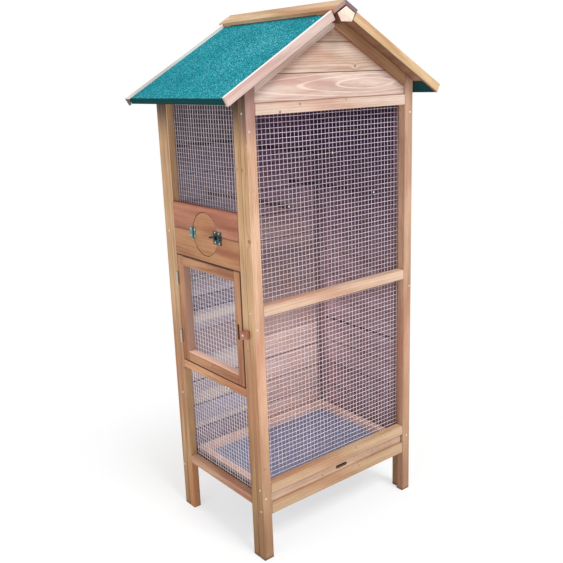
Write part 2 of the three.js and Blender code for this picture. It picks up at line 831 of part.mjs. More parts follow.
function roofBoards() {
  return [['roof_left_board', -1], ['roof_right_board', 1]].map(([name, hand]) => {
    const outline = [
      roofPoint(ridgeBeamFlank + fit, 0, hand),
      roofPoint(roofBoardReach, 0, hand),
      roofPoint(roofBoardReach, -roofBoardThickness, hand),
      roofPoint(ridgeBeamFlank + fit, -roofBoardThickness, hand),
    ];
    return prism(name, 'y', outline, roofStart, roofLength, redFir, 0);
  });
}

// One sheet of felt, folded over the ridge and tucked round both eaves
function roofFelt() {
  const inside = roofBoardReach + fit;
  const under = -roofBoardThickness - fit;
  const fold = (centre, radius, from, to) => arc(centre, radius, from, to, 4);
  const outerEdge = [
    ...fold([inside + feltThickness - feltBend, fit + feltThickness - feltBend], feltBend,
      Math.PI / 2, 0),
    ...fold([inside + feltThickness - feltBend, under - feltThickness + feltBend], feltBend,
      0, -Math.PI / 2),
    [roofBoardReach - feltTuck, under - feltThickness],
  ];
  const innerEdge = [
    [roofBoardReach - feltTuck, under],
    [inside, under],
    [inside, fit],
  ];
  const place = (points, hand) => points.map(([along, out]) => roofPoint(along, out, hand));
  const outline = [
    [0, roofHeight(fit + feltThickness, 0)],
    ...place(outerEdge, 1),
    ...place(innerEdge, 1),
    [0, roofHeight(fit, 0)],
    ...place(innerEdge, -1).reverse(),
    ...place(outerEdge, -1).reverse(),
  ];
  return prism('roof_felt', 'y', outline, roofStart, roofLength, felt, 0);
}

// Bargeboards are nailed to the ends of the roof boards and stand up past the felt. The front
// right one ends flush with the felt, and the others run on past it.
function bargeboards() {
  const sides = [
    ['front_left_bargeboard', -1, frontBargePlane, bargeProud],
    ['front_right_bargeboard', 1, frontBargePlane, flushBargeProud],
    ['back_left_bargeboard', -1, backBargePlane, bargeProud],
    ['back_right_bargeboard', 1, backBargePlane, bargeProud],
  ];
  const start = ridgeCapWidth + bargeSetback;
  return sides.map(([name, hand, plane, proud]) => {
    const end = roofBoardReach + proud;
    const outline = [
      roofPoint(start, bargeRise, hand),
      roofPoint(end, bargeRise, hand),
      roofPoint(end, bargeRise - bargeWidth, hand),
      roofPoint(start, bargeRise - bargeWidth, hand),
    ];
    return prism(name, 'y', outline, plane, bargeThickness, paleFir);
  });
}

// The ridge beam has five sides: two in the ridge plane, two square to the slopes and one below
function ridge() {
  const flank = [roofPoint(ridgeBeamFlank, 0), roofPoint(ridgeBeamFlank, -ridgeBeamSide)];
  const section = [[0, ridgePlaneHeight], ...flank, ...mirrored(flank).reverse()];
  const start = frontBargePlane - ridgeBeamFrontProud;
  const length = backBargePlane + bargeThickness + ridgeBeamBackProud - start;
  const beam = prism('ridge_beam', 'y', section, start, length, paleFir);
  const low = feltThickness + 2 * fit;
  const high = low + ridgeCapThickness;
  const caps = [['ridge_left_cap', -1], ['ridge_right_cap', 1]].map(([name, hand]) => {
    const middle = hand * fit / 2;
    const outline = [
      [middle, roofHeight(low, middle)],
      roofPoint(ridgeCapWidth, low, hand),
      roofPoint(ridgeCapWidth, high, hand),
      [middle, roofHeight(high, middle)],
    ];
    return prism(name, 'y', outline, start + ridgeCapSetback, length - 2 * ridgeCapSetback, fir);
  });
  return [beam, ...caps];
}

function group(name, ...pieces) {
  const assembly = new THREE.Group();
  assembly.name = name;
  assembly.add(...pieces);
  return assembly;
}

const bolt = nestBolt();
const [upperFrameLeaf, upperDoorLeaf] = doorHinge('upper', doorTop - upperHingeFromTop);
const [lowerFrameLeaf, lowerDoorLeaf] = doorHinge('lower', doorBottom + lowerHingeFromBottom);
const [nestFrameLeaf, nestDoorLeaf] = nestHinge();

const cage = group('bird_cage',
  group('frame',
    ...cornerUprights(),
    frontRail('front_lower_rail', lowerRailBottom, lowerRailHeight),
    frontRail('front_bottom_rail', bottomRailBottom, bottomRailHeight),
    frontRail('front_middle_rail', middleRailBottom, frontRailHeight),
    frontRail('front_top_rail', topRailBottom, frontRailHeight),
    leftRail('left_bottom_rail', sideBottomRailBottom),
    leftRail('left_middle_rail', sideMiddleRailBottom),
    leftRail('left_top_rail', sideTopRailBottom),
    runnerFrame()),
  group('walls', backWall(), rightWall(), frontNet(), ...leftNets(), ...nestBoards()),
  group('gable', ...gableBoards(), ...frontRafters(), backRafters()),
  group('roof', ...roofBoards(), roofFelt(), ...bargeboards(), ...ridge()),
  group('fittings', upperFrameLeaf, lowerFrameLeaf, nestFrameLeaf, bolt.keeper, turnButton(),
    ...perches()),
  group('access_door_group', ...accessDoor(), upperDoorLeaf, lowerDoorLeaf),
  group('nest_door_group', nestDoor(), nestDoorLeaf, bolt.plate, bolt.bolt),
  group('drawer_group', ...drawer()));

export default cage;
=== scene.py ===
# %% [markdown]
# # A wooden bird cage
# The cage is a tall softwood cabinet on four legs. Its front and left side are closed with welded
# wire mesh, its back and right side with boards, and its gable roof is covered with green mineral
# felt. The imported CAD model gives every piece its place. This file gives the pieces their finish,
# and adds what is too fine for the CAD: the full wire mesh, the screws, the washers and a staple.

# %% Load the frame
import json
import math
import random

import bmesh
import bpy
from mathutils import Matrix, Vector

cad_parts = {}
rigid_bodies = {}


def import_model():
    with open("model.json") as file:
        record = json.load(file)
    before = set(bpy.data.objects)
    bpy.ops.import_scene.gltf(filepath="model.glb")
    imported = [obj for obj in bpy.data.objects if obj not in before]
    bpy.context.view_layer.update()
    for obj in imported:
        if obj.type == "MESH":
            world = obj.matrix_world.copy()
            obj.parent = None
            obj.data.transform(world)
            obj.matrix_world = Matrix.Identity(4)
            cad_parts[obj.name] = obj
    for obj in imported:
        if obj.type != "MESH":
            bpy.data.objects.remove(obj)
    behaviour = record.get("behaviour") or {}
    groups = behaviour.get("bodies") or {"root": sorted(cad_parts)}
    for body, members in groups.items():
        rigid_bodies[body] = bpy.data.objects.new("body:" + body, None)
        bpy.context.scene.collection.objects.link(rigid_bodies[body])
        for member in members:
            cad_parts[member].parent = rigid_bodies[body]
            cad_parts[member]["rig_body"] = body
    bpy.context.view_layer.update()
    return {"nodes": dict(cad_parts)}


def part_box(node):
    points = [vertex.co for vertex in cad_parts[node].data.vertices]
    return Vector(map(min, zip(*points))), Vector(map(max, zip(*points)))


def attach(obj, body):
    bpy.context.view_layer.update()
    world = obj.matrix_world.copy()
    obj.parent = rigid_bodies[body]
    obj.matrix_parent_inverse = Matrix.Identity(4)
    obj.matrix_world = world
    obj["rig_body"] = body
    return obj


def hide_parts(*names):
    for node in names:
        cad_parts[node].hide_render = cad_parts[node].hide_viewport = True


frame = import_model()
nodes = frame["nodes"]
print("CAD nodes:", len(nodes))


def mm(value):
    """Millimetres as metres."""
    return value / 1000


# %% [markdown]
# ## Camera
# A camera can be placed by eye, but then every edge is a little off. This one was solved from the
# right angles of the real cage: upright posts, front rails and side rails each run to their own
# vanishing point, which fixes the lens, the place and the turn.

# %% Camera
camera_data = bpy.data.cameras.new("photo_camera")
camera_data.sensor_width = 36
camera_data.lens = 48.555
camera = bpy.data.objects.new("photo_camera", camera_data)
camera.location = (-1.32858, -1.64032, 1.26164)
camera.rotation_euler = [math.radians(angle) for angle in (74.79348, 1.98478, -38.76784)]
bpy.context.scene.collection.objects.link(camera)
bpy.context.scene.camera = camera
print("camera height in metres:", round(camera.location.z, 3))

# %% [markdown]
# ## Light
# A broad, high sun in front makes the front pale. A big soft lamp on the left lifts the left side,
# which stays a little darker. Small bright lamps would draw a hard shadow of every wire and wash
# out the pale wood. So both lamps are broad and weak, and a colour renders about as it is written.

# %% Lamps
scene = bpy.context.scene
scene.view_settings.view_transform = "Standard"


def aimed(direction):
    """The turn of a lamp that shines along a direction."""
    return Vector(direction).to_track_quat("-Z", "Y").to_euler()


def add_lamp(name, kind, power):
    data = bpy.data.lights.new(name, kind)
    data.energy = power
    lamp = bpy.data.objects.new(name, data)
    scene.collection.objects.link(lamp)
    return lamp


side_lamp = add_lamp("side_lamp", "AREA", 30)
side_lamp.data.size = 2.2
side_lamp.location = (-3.4, -0.9, 1.6)
side_lamp.rotation_euler = aimed(Vector((0, 0, 0.7)) - side_lamp.location)

high_sun = add_lamp("high_sun", "SUN", 2.05)
high_sun.data.angle = math.radians(20)
high_sun.rotation_euler = aimed((-0.02, 0.62, -0.84))
print("lamps:", side_lamp.name, high_sun.name)

# %% [markdown]
# ## Shader maths as Python
# Finishes could be wired by hand in the shader editor, but they are easier to read as sums. The
# class Signal wraps one output of a node, and each + - * / or ** on it adds a Math node, also with
# a number in front, as in 1 - mask. Every other node comes from Wiring.node. A Bench is the wiring
# of one material.


# %% Signals
class Signal:
    """One output of a shader node."""

    def __init__(self, bench, socket):
        self.bench = bench
        self.socket = socket

    def math(self, operation, *others):
        return self.bench.node("ShaderNodeMath", {"operation": operation}, [self, *others])

    def math_after(self, number, operation):
        """The same with a number in front."""
        return self.bench.node("ShaderNodeMath", {"operation": operation}, [number, self])

    def __add__(self, other):
        return self.math("ADD", other)

    __radd__ = __add__

    def __mul__(self, other):
        return self.math("MULTIPLY", other)

    __rmul__ = __mul__

    def __sub__(self, other):
        return self.math("SUBTRACT", other)

    def __rsub__(self, other):
        return self.math_after(other, "SUBTRACT")

    def __truediv__(self, other):
        return self.math("DIVIDE", other)

    def __rtruediv__(self, other):
        return self.math_after(other, "DIVIDE")

    def __pow__(self, other):
        return self.math("POWER", other)


# %% Wiring and benches
class Wiring:
    """A node tree being wired. A number or colour sets a socket, and a Signal is linked to it."""

    def __init__(self, tree):
        self.tree = tree

    def node(self, kind, settings=None, inputs=None, output=0):
        made = self.tree.nodes.new(kind)
        for key, value in (settings or {}).items():
            if key == "stops":
                set_stops(made.color_ramp, value)
            else:
                setattr(made, key, value)
        pairs = inputs.items() if isinstance(inputs, dict) else enumerate(inputs or [])
        for key, value in pairs:
            self.feed(made.inputs[key], value)
        return Signal(self, made.outputs[output])

    def feed(self, socket, value):
        if isinstance(value, Signal):
            self.tree.links.new(value.socket, socket)
        else:
            socket.default_value = value


class Bench(Wiring):
    """A material being made: its nodes, and the surface that they end in."""

    def __init__(self, name):
        self.material = bpy.data.materials.new(name)
        self.material.use_nodes = True
        super().__init__(self.material.node_tree)
        self.surface = self.tree.nodes["Principled BSDF"]

    def finish(self, **sockets):
        for key, value in sockets.items():
            self.feed(self.surface.inputs[key.replace("_", " ").title()], value)
        return self.material


def set_stops(ramp, stops):
    while len(ramp.elements) < len(stops):
        ramp.elements.new(0.5)
    for element, (place, colour) in zip(ramp.elements, stops):
        element.position = place
        element.color = colour


# %% Colours
def paint(red, green, blue):
    """An sRGB colour, 0 to 255, as the linear colour that shaders use."""
    def linear(level):
        share = level / 255
        return share / 12.92 if share <= 0.04045 else ((share + 0.055) / 1.055) ** 2.4
    return (linear(red), linear(green), linear(blue), 1.0)


# %% [markdown]
# ### Parts that every finish shares
# Each of these takes Signals and gives back a Signal on the same bench. A Mix node has separate
# sockets for numbers, vectors and colours, so the three for colours are picked by their numbers.

# %% Shared parts
MIX_BELOW, MIX_ABOVE, MIX_RESULT = 6, 7, 2


def object_place(bench):
    """The place of a point in the piece's own coordinates, in metres."""
    return bench.node("ShaderNodeTexCoord", output="Object")


def axes(vector):
    """The x, y and z of a vector."""
    parts = vector.bench.node("ShaderNodeSeparateXYZ", inputs=[vector])
    return [Signal(vector.bench, parts.socket.node.outputs[axis]) for axis in "XYZ"]


def ramp(value, start, end):
    """0 at start and 1 at end, smoothly."""
    return value.bench.node("ShaderNodeMapRange", {"interpolation_type": "SMOOTHSTEP"},
                            {"Value": value, "From Min": start, "From Max": end})


def noise(vector, scale, detail, roughness=0.5):
    """Cloudy noise, 0 to 1, with scale waves in a metre."""
    return vector.bench.node("ShaderNodeTexNoise", inputs={
        "Vector": vector, "Scale": scale, "Detail": detail, "Roughness": roughness})


def blend(share, below, above, how="MIX"):
    """One colour over another, by a share."""
    return share.bench.node("ShaderNodeMix", {"data_type": "RGBA", "blend_type": how}, {
        "Factor": share, MIX_BELOW: below, MIX_ABOVE: above}, output=MIX_RESULT)


# %% [markdown]
# ## World and floor
# The cage is shown on plain white, and the world also fills its shadows. A world and a floor that
# are white for every ray would light it too strongly from all sides. So Light Path makes them
# plain white for the camera, mirrors and glass alone, and the floor still takes the cage's shadow.

# %% World
FILL_STRENGTH = 0.62


def sees_background(wiring):
    """1 for a ray from the camera, a mirror or something clear, and 0 for light's own rays."""
    camera_ray, glossy_ray, clear_ray = [
        wiring.node("ShaderNodeLightPath", output=ray)
        for ray in ("Is Camera Ray", "Is Glossy Ray", "Is Transmission Ray")]
    return camera_ray.math("MAXIMUM", glossy_ray).math("MAXIMUM", clear_ray)


world = bpy.data.worlds.new("studio")
world.use_nodes = True
scene.world = world
sky = Wiring(world.node_tree)
background = sky.tree.nodes["Background"]
background.inputs["Color"].default_value = (1, 1, 1, 1)
sky.feed(background.inputs["Strength"], sky.node("ShaderNodeMapRange", inputs={
    "Value": sees_background(sky), "To Min": FILL_STRENGTH, "To Max": 1.0}))
print("world nodes:", len(sky.tree.nodes))

# %% Floor
SHADOW_REACH = (0.35, 1.0)
FLOOR_WHITENESS = 0.6
floor_mesh = bmesh.new()
bmesh.ops.create_grid(floor_mesh, x_segments=1, y_segments=1, size=30)
floor_data = bpy.data.meshes.new("floor")
floor_mesh.to_mesh(floor_data)
floor_mesh.free()
floor = bpy.data.objects.new("floor", floor_data)
scene.collection.objects.link(floor)


def white_floor():
    """White ground that takes the cage's shadow near the cage, and is plain white further off."""
    bench = Bench("white_floor")
    reach = bench.node("ShaderNodeVectorMath", {"operation": "LENGTH"}, [object_place(bench)],
                       output="Value")
    far = ramp(reach, *SHADOW_REACH)
    plain = bench.node("ShaderNodeEmission", inputs={"Color": (1, 1, 1, 1), "Strength": 1.0})
    ground = Signal(bench, bench.surface.outputs[0])
    whiteness = far * (1 - FLOOR_WHITENESS) + FLOOR_WHITENESS
    plain_share = whiteness * sees_background(bench)
    mixed = bench.node("ShaderNodeMixShader", inputs=[plain_share, ground, plain])
    bench.feed(bench.tree.nodes["Material Output"].inputs["Surface"], mixed)
    return bench.finish(base_color=(0.93, 0.93, 0.93, 1), roughness=0.9)


floor.data.materials.append(white_floor())
print("floor width in metres:", round(floor.dimensions.x, 1))

# %% [markdown]
# ## Stained softwood
# A stick of fir is cut from a log, so its grain is a set of nested tubes, the year rings, round a
# heart that lies somewhere beside the stick. A picture of wood wrapped round each stick would break
# at the edges and repeat its knots. So the rings are worked out in three dimensions from the
# distance to that heart, and each face shows what a saw would show: near-straight lines along a
# face, arcs on an end. Stain soaks in unevenly, so broad streaks and patches vary the colour, and
# fine fibres run along the grain.

# %% Turn of the grain
GRAIN_TURNS = {
    "x": (0, math.radians(-90), 0),
    "y": (math.radians(90), 0, 0),
    "z": (0, 0, 0),
    "left_slope": (0, math.radians(-60), 0),
    "right_slope": (0, math.radians(-120), 0),
}


def turning(grain):
    """The turn that brings the grain upright."""
    about_x, about_y, _ = GRAIN_TURNS[grain]
    return Matrix.Rotation(about_y, 3, "Y") @ Matrix.Rotation(about_x, 3, "X")


def grain_place(bench, centre, grain):
    """Object coordinates turned so that z runs along the grain, with the stick's middle at zero."""
    return bench.node("ShaderNodeMapping", {"vector_type": "POINT"}, {
        "Vector": object_place(bench), "Rotation": GRAIN_TURNS[grain],
        "Location": -(turning(grain) @ Vector(centre))})


# %% [markdown]
# ### Knots
# A knot is the foot of a branch, a dark spot that the year rings bend round. The bent lines could
# be drawn one by one, but it is simpler to push the rings aside near the knot, less and less with
# the distance from it.

# %% Knots
def knot_masks(bench, knots):
    """How deep in the knots a point lies, and how far they push the rings aside. A knot is a
    place and a radius in metres."""
    dark = 0.0
    push = 0.0
    for place, radius in knots:
        offset = bench.node("ShaderNodeVectorMath", {"operation": "DISTANCE"},
                            {0: object_place(bench), 1: place}, output="Value")
        reach = offset / radius
        dark = ramp(reach, 1.15, 0.6).math("MAXIMUM", dark)
        push = push + radius * 1.4 / (1 + reach * reach)
    return dark, push


# %% [markdown]
# ### Painted shade, and marks by place
# Inside the cabin, shade is painted into the stain: it gets darker and bluer towards the roof.
# That could be painted on each stick, but it runs over many sticks at once. So these masks tell
# from a point's place on the cage how deep it lies in painted shade, how far it lies below the
# roof, where the boards meet and how much darker it is low down. spot is its x, y and z.

# %% Boxes and bands
def box_mask(spot, low, high):
    """1 inside an upright box, given by two corners in millimetres."""
    inside = 1.0
    for value, start, end in zip(spot, low, high):
        inside = value.math("GREATER_THAN", mm(start)) * value.math("LESS_THAN", mm(end)) * inside
    return inside


def band_mask(spot, side_of_wall, low, high, soft):
    """1 between two heights on one half of a wall, with soft ends. The heights are millimetres."""
    return (ramp(spot[2], mm(low - soft), mm(low + soft))
            * ramp(spot[2], mm(high + soft), mm(high - soft))
            * ramp(spot[0] * side_of_wall, mm(-40), mm(20)))


# %% Painted shade in the cabin and under the eave
CABIN = ((-262, -176.5, 160), (268.5, 190, 1400))
SIDE_FACE = 284
HALF_DEPTH = 202
EAVE_SHADE = (1.085, 1.205)


def painted_cabin_shade(spot):
    """Painted shade: how dark a point is painted, more and more so inside the cabin towards the
    roof, starting a little higher on the left.
    """
    left = ramp(spot[0], 0.05, -0.12)
    return box_mask(spot, *CABIN) * ramp(spot[2] - left * 0.1, 0.45, 1.15)


def under_eave(spot):
    """How deep a point of the left or right face lies in the shade of the eave."""
    off_face = (spot[0].math("ABSOLUTE") - mm(SIDE_FACE)).math("ABSOLUTE")
    between = spot[1].math("ABSOLUTE").math("LESS_THAN", mm(HALF_DEPTH))
    return ramp(spot[2], *EAVE_SHADE) * off_face.math("LESS_THAN", mm(0.5)) * between


# %% Roof slope
ROOF_SLOPE = math.radians(30)
ROOF_PLANE = mm(1415.9)


def roof_height(spot):
    """The height at which the roof's slope through a point meets the middle of the cage."""
    return spot[0].math("ABSOLUTE") * math.tan(ROOF_SLOPE) + spot[2]


def roof_gap(spot):
    """How far below the roof plane a point lies, square to the slope, in metres."""
    return (ROOF_PLANE - roof_height(spot)) * math.cos(ROOF_SLOPE)


# %% Joints and dirt
BOARD = mm(77)


def seam_mask(height, open_joint):
    """The dark joints of a boarded wall, which come once a board: one open, the others tight."""
    gap = height - mm(open_joint)
    off_joint = ((gap / BOARD + 0.5).math("FRACT") - 0.5).math("ABSOLUTE") * BOARD
    near = gap.math("ABSOLUTE").math("LESS_THAN", BOARD / 2)
    lower = gap.math("LESS_THAN", 0.0)
    return ramp(off_joint, mm(2.6), mm(1.2)) * (near * 0.4 + lower * 0.2 + 0.3)


def darkening_low_down(height, low_darkening):
    """How much darker a stick is low down: the legs, the feet, and the lower part of a post by its
    share.
    """
    return (ramp(height, 0.6, 0.02) * 0.2 + ramp(height, 0.26, 0.06) * 0.12
            + ramp(height, 0.5, 0.2) * low_darkening + ramp(height, 0.012, 0.002) * 0.25)


# %% [markdown]
# ### Grain
# The Wave texture has rings too, but all of them are round. Here the rings are a wave of the
# distance to the heart, so a board that was cut just under a hump of the log can have an oval, the
# eye. Noise that is drawn out along the grain gives fibres and streaks, and broader noise gives
# patches and blushes of red.

# %% Grain
FINE_ALONG, BROAD_ALONG = 0.07, 0.2
EYE_ROUNDING = mm(60)
REDDER = (1.06, 0.86, 0.84)


def drawn_out(place, along):
    """A place for noise whose waves are longer along the grain, because z counts for less."""
    return place.bench.node("ShaderNodeVectorMath", {"operation": "MULTIPLY"},
                            {0: place, 1: (1.0, 1.0, along)})


def year_rings(gaps, shift, ring, sharp, eye_share):
    """How dark the year rings make a point, from how far it lies from the heart and the eye."""
    across, through, along = [gap * gap for gap in gaps]
    lens = ((along + EYE_ROUNDING ** 2).math("SQRT") - EYE_ROUNDING) * eye_share
    radius = (across + through + lens).math("SQRT")
    wave = ((radius + shift) / ring * math.tau).math("SINE")
    return (0.5 + 0.5 * wave) ** sharp


def stain(shade, blush, light, dark):
    """A stain that follows the grain's shade, and is redder where it blushes."""
    redder = [level * share for level, share in zip(dark, REDDER)]
    return blend(blush, blend(shade, paint(*light), paint(*dark)), paint(*redder))


# %% [markdown]
# ### Settings of a stick
# - heart, ring, sharp, wander: where the log's heart lies beside the stick's middle, how far apart
#   the rings are, how narrow their dark lines are and how much they wander, in metres
# - eye, eye_share: where along the stick the rings close into an oval, and how round it is
# - contrast, base, tone, blushing: how strong the rings, the shade, the brightness and the red are
# - knots, patches, bands, lines, seams: marks at places on the cage, in millimetres; the bands and
#   many of the patches are painted light and shade
# - fades: an axis, where the fade starts and ends, and the tint that it fades to
# - outer: the stain of the faces outside the cabin, on a stick that has both
# - end_grain, sawn: how much darker the cut ends are, or the colour that they have
# - edge_shade, top_highlight, underside: painted shade along the long edges, a painted highlight
#   on the upper edge and painted shade on the lower edge
# - low_darkening, eave_shade, rafter_line: how much darker a stick is low down, and painted shade
#   under the eave and along the rafters

# %% Marks on the wood
BOARD_LINE = (104, 64, 50)
RAFTER_TINT = (150, 118, 108)
RAFTER_SHADOW_LINE = (150, 90, 60)
RAFTER_FOOT = mm(38.3)
RAFTER_SHADE = mm(24)
RAFTER_LINE = (mm(7), mm(4))


def rafter_marks(colour, spot):
    """Painted shade along the rafters, and a painted shadow line where the right one meets the
    gable boards.
    """
    below = roof_gap(spot) - RAFTER_FOOT
    right = spot[0].math("GREATER_THAN", 0.0)
    colour = blend(ramp(below, RAFTER_SHADE, 0.0) * 0.4, colour, paint(*RAFTER_TINT), "MULTIPLY")
    return blend(ramp(below, *RAFTER_LINE) * right * 0.85, colour, paint(*RAFTER_SHADOW_LINE))


def placed_marks(colour, spot, lines, bands, patches):
    """Lines between boards, bands of painted light and shade, and small patches, many of them
    painted shade and some painted light, each where the cage has it.
    """
    for height in lines:
        gap = (spot[2] - mm(height)).math("ABSOLUTE")
        colour = blend(ramp(gap, mm(2.0), mm(0.6)) * 0.75, colour, paint(*BOARD_LINE))
    for side_of_wall, low, high, soft, tint, share in bands:
        inside = band_mask(spot, side_of_wall, low, high, soft)
        colour = blend(inside * share, colour, paint(*tint))
    for low, high, tint, share in patches:
        colour = blend(box_mask(spot, low, high) * share, colour, paint(*tint))
    return colour


# %% Stained wood
JOINT = (48, 30, 34)
KNOT = (134, 90, 64)
TOP_HIGHLIGHT = (255, 246, 242)
CABIN_SHADE_TINT = (98, 80, 128)
EAVE_TINT = (116, 106, 92)
INDOORS = ((-262, -176.5, 100), (268.5, 190, 1400))


def stained_wood(name, centre, half, up, grain, light, dark, heart, ring, contrast=0.3,
                 sharp=3.0, wander=0.016, base=0.34, eye=0.0, eye_share=0.0, knots=(), tone=1.0,
                 seams=None, top_highlight=False, end_grain=0.22, blushing=0.45, lines=(),
                 edge_shade=0.0, sawn=None, patches=(), fades=(), low_darkening=0.0, underside=None,
                 rafter_line=False, eave_shade=1.0, bands=(), outer=None):
    """Stained fir for one stick. half and up are what stick_size gives."""
    bench = Bench(name)
    place = grain_place(bench, centre, grain)
    side, depth, along = axes(place)
    spot = axes(object_place(bench))
    fine, broad = drawn_out(place, FINE_ALONG), drawn_out(place, BROAD_ALONG)
    knot_dark, knot_push = knot_masks(bench, knots)
    bend = noise(fine, 22.0, 2.0)
    rings = year_rings((side - heart[0], depth - heart[1], along - eye),
                       (bend - 0.5) * wander + knot_push, ring, sharp, eye_share)
    streak = noise(fine, 85.0, 3.0, 0.6)
    fibre = noise(fine, 600.0, 2.0, 0.7)
    patch = noise(broad, 26.0, 2.0)
    blush = ramp(noise(broad, 12.0, 3.0), 0.5, 0.72) * blushing
    shade = (rings * contrast + (streak - 0.5) * 1.5 + (fibre - 0.5) * 0.75
             + (patch - 0.5) * 1.6 + base)
    indoors = box_mask(spot, *INDOORS)
    colour = stain(shade, blush, light, dark)
    if outer:
        colour = blend(indoors, stain(shade, blush, *outer), colour)

    low_darkness = darkening_low_down(spot[2], low_darkening)
    # Painted shade along the long edges, where sticks meet; the cut ends and low parts are darker
    # too.
    rims = [ramp(value.math("ABSOLUTE"), reach - mm(1.8), reach - mm(0.2))
            for value, reach in zip((side, depth), half)]
    ends = ramp(along.math("ABSOLUTE"), half[2] - mm(1.6), half[2] - mm(0.6))
    darker = low_darkness + ends * end_grain + rims[0].math("MINIMUM", rims[1]) * edge_shade
    colour = bench.node("ShaderNodeHueSaturation", inputs={
        "Color": colour, "Saturation": low_darkness * 0.4 + 1.0, "Value": tone - darker})
    # Painted shade: darker and bluer inside the cabin towards the roof, and darker under the eave.
    colour = blend(painted_cabin_shade(spot), colour, paint(*CABIN_SHADE_TINT), "MULTIPLY")
    colour = blend(under_eave(spot) * eave_shade, colour, paint(*EAVE_TINT), "MULTIPLY")
    weathered = colour

    # The fades are mostly painted shade, such as at the tops of the posts under the eave.
    for axis, start, end, tint in fades:
        colour = blend(ramp(spot[axis], start, end), colour, paint(*tint), "MULTIPLY")
    if rafter_line:
        colour = rafter_marks(colour, spot)
    if sawn:
        colour = blend(ends * (shade * -0.4 + 1.1), colour, paint(*sawn))
    if knots:
        colour = blend(knot_dark * 0.75, colour, paint(*KNOT))
    if seams:
        joints = seam_mask(spot[2], seams)
        colour = blend(joints, colour, paint(*JOINT))
        weathered = blend(joints, weathered, paint(*JOINT))
    colour = placed_marks(colour, spot, lines, bands, patches)
    if outer:
        colour = blend(indoors, weathered, colour)
    # Painted highlight on the top face of a bargeboard.
    if top_highlight:
        top = ramp(side * up, half[0] - mm(1.0), half[0] - mm(0.4))
        colour = blend(top * 0.8, colour, paint(*TOP_HIGHLIGHT))
    # Painted shade on the lower edge of a bargeboard.
    if underside:
        foot = ramp(side * up, mm(1.0) - half[0], mm(0.4) - half[0])
        colour = blend(foot * 0.85, colour, paint(*underside))
    bump = bench.node("ShaderNodeBump", inputs={
        "Height": fibre * 0.6 + rings * 0.4, "Strength": 0.25, "Distance": 0.0006})
    return bench.finish(base_color=colour, roughness=shade * 0.12 + 0.6, normal=bump)


# %% [markdown]
# ## Which stick gets which finish
# The stain took differently on each stick. The front is pinker, the left side more yellow, and the
# upper nest board the reddest. The walls are pale low down and painted dark under the roof as
# shade.
# The right wall, the back right corner, the roof boards, the perches and the ridge beam's sides get
# stains that are painted dark as shade. Each stick has its own heart, so no two have the same
# grain.

# %% Stains
FRONT = ((218, 178, 148), (178, 134, 104))
FRONT_RIGHT = ((202, 162, 134), (162, 120, 94))
RAIL = ((216, 184, 160), (180, 144, 118))
LOW_RAIL = ((214, 182, 150), (176, 140, 108))
SIDE = ((200, 162, 120), (154, 114, 78))
SIDE_BACK = ((196, 158, 118), (152, 114, 80))
LEFT_FOOT_RAIL = ((208, 166, 138), (164, 122, 98))
ORANGE_RAIL = ((208, 154, 112), (164, 112, 76))
DOOR = ((184, 133, 94), (136, 88, 57))
NEST = ((177, 125, 85), (139, 89, 55))
NEST_RED = ((180, 118, 90), (140, 84, 62))
BUTTON = ((174, 114, 90), (134, 80, 60))
GABLE = ((220, 194, 178), (182, 148, 126))
LEFT_RAFTER = ((228, 204, 190), (186, 156, 142))
RIGHT_RAFTER = ((166, 124, 88), (128, 90, 62))
PINK_EDGE = ((214, 190, 180), (184, 154, 144))
YELLOW_EDGE = ((222, 188, 146), (178, 140, 98))
PALE_EDGE = ((240, 232, 224), (212, 202, 194))
CAP = ((214, 180, 142), (166, 124, 84))
# The ridge beam's sides are painted dark as shade.
BEAM_SIDE_SHADE = ((132, 84, 62), (96, 58, 44))
BACK_WALL = ((238, 206, 196), (206, 170, 162))
# The back right corner is painted dark and purple as shade.
SHADED_CORNER = ((200, 168, 172), (154, 121, 128))
LOWER_GABLE = ((232, 209, 195), (186, 157, 144))
# The right wall's inner face is painted darker and more purple as shade.
SHADED_RIGHT_WALL = ((222, 186, 192), (172, 132, 144))
TRAY = ((220, 188, 166), (184, 148, 124))
# The roof boards are painted dark as the shade under the roof, the right one less.
UNDER_ROOF_SHADE = ((88, 62, 52), (58, 40, 36))
RIGHT_UNDER_ROOF_SHADE = ((150, 106, 78), (112, 78, 56))
# The perches are painted dark as shade.
SHADED_PERCH = ((130, 106, 98), (98, 76, 70))

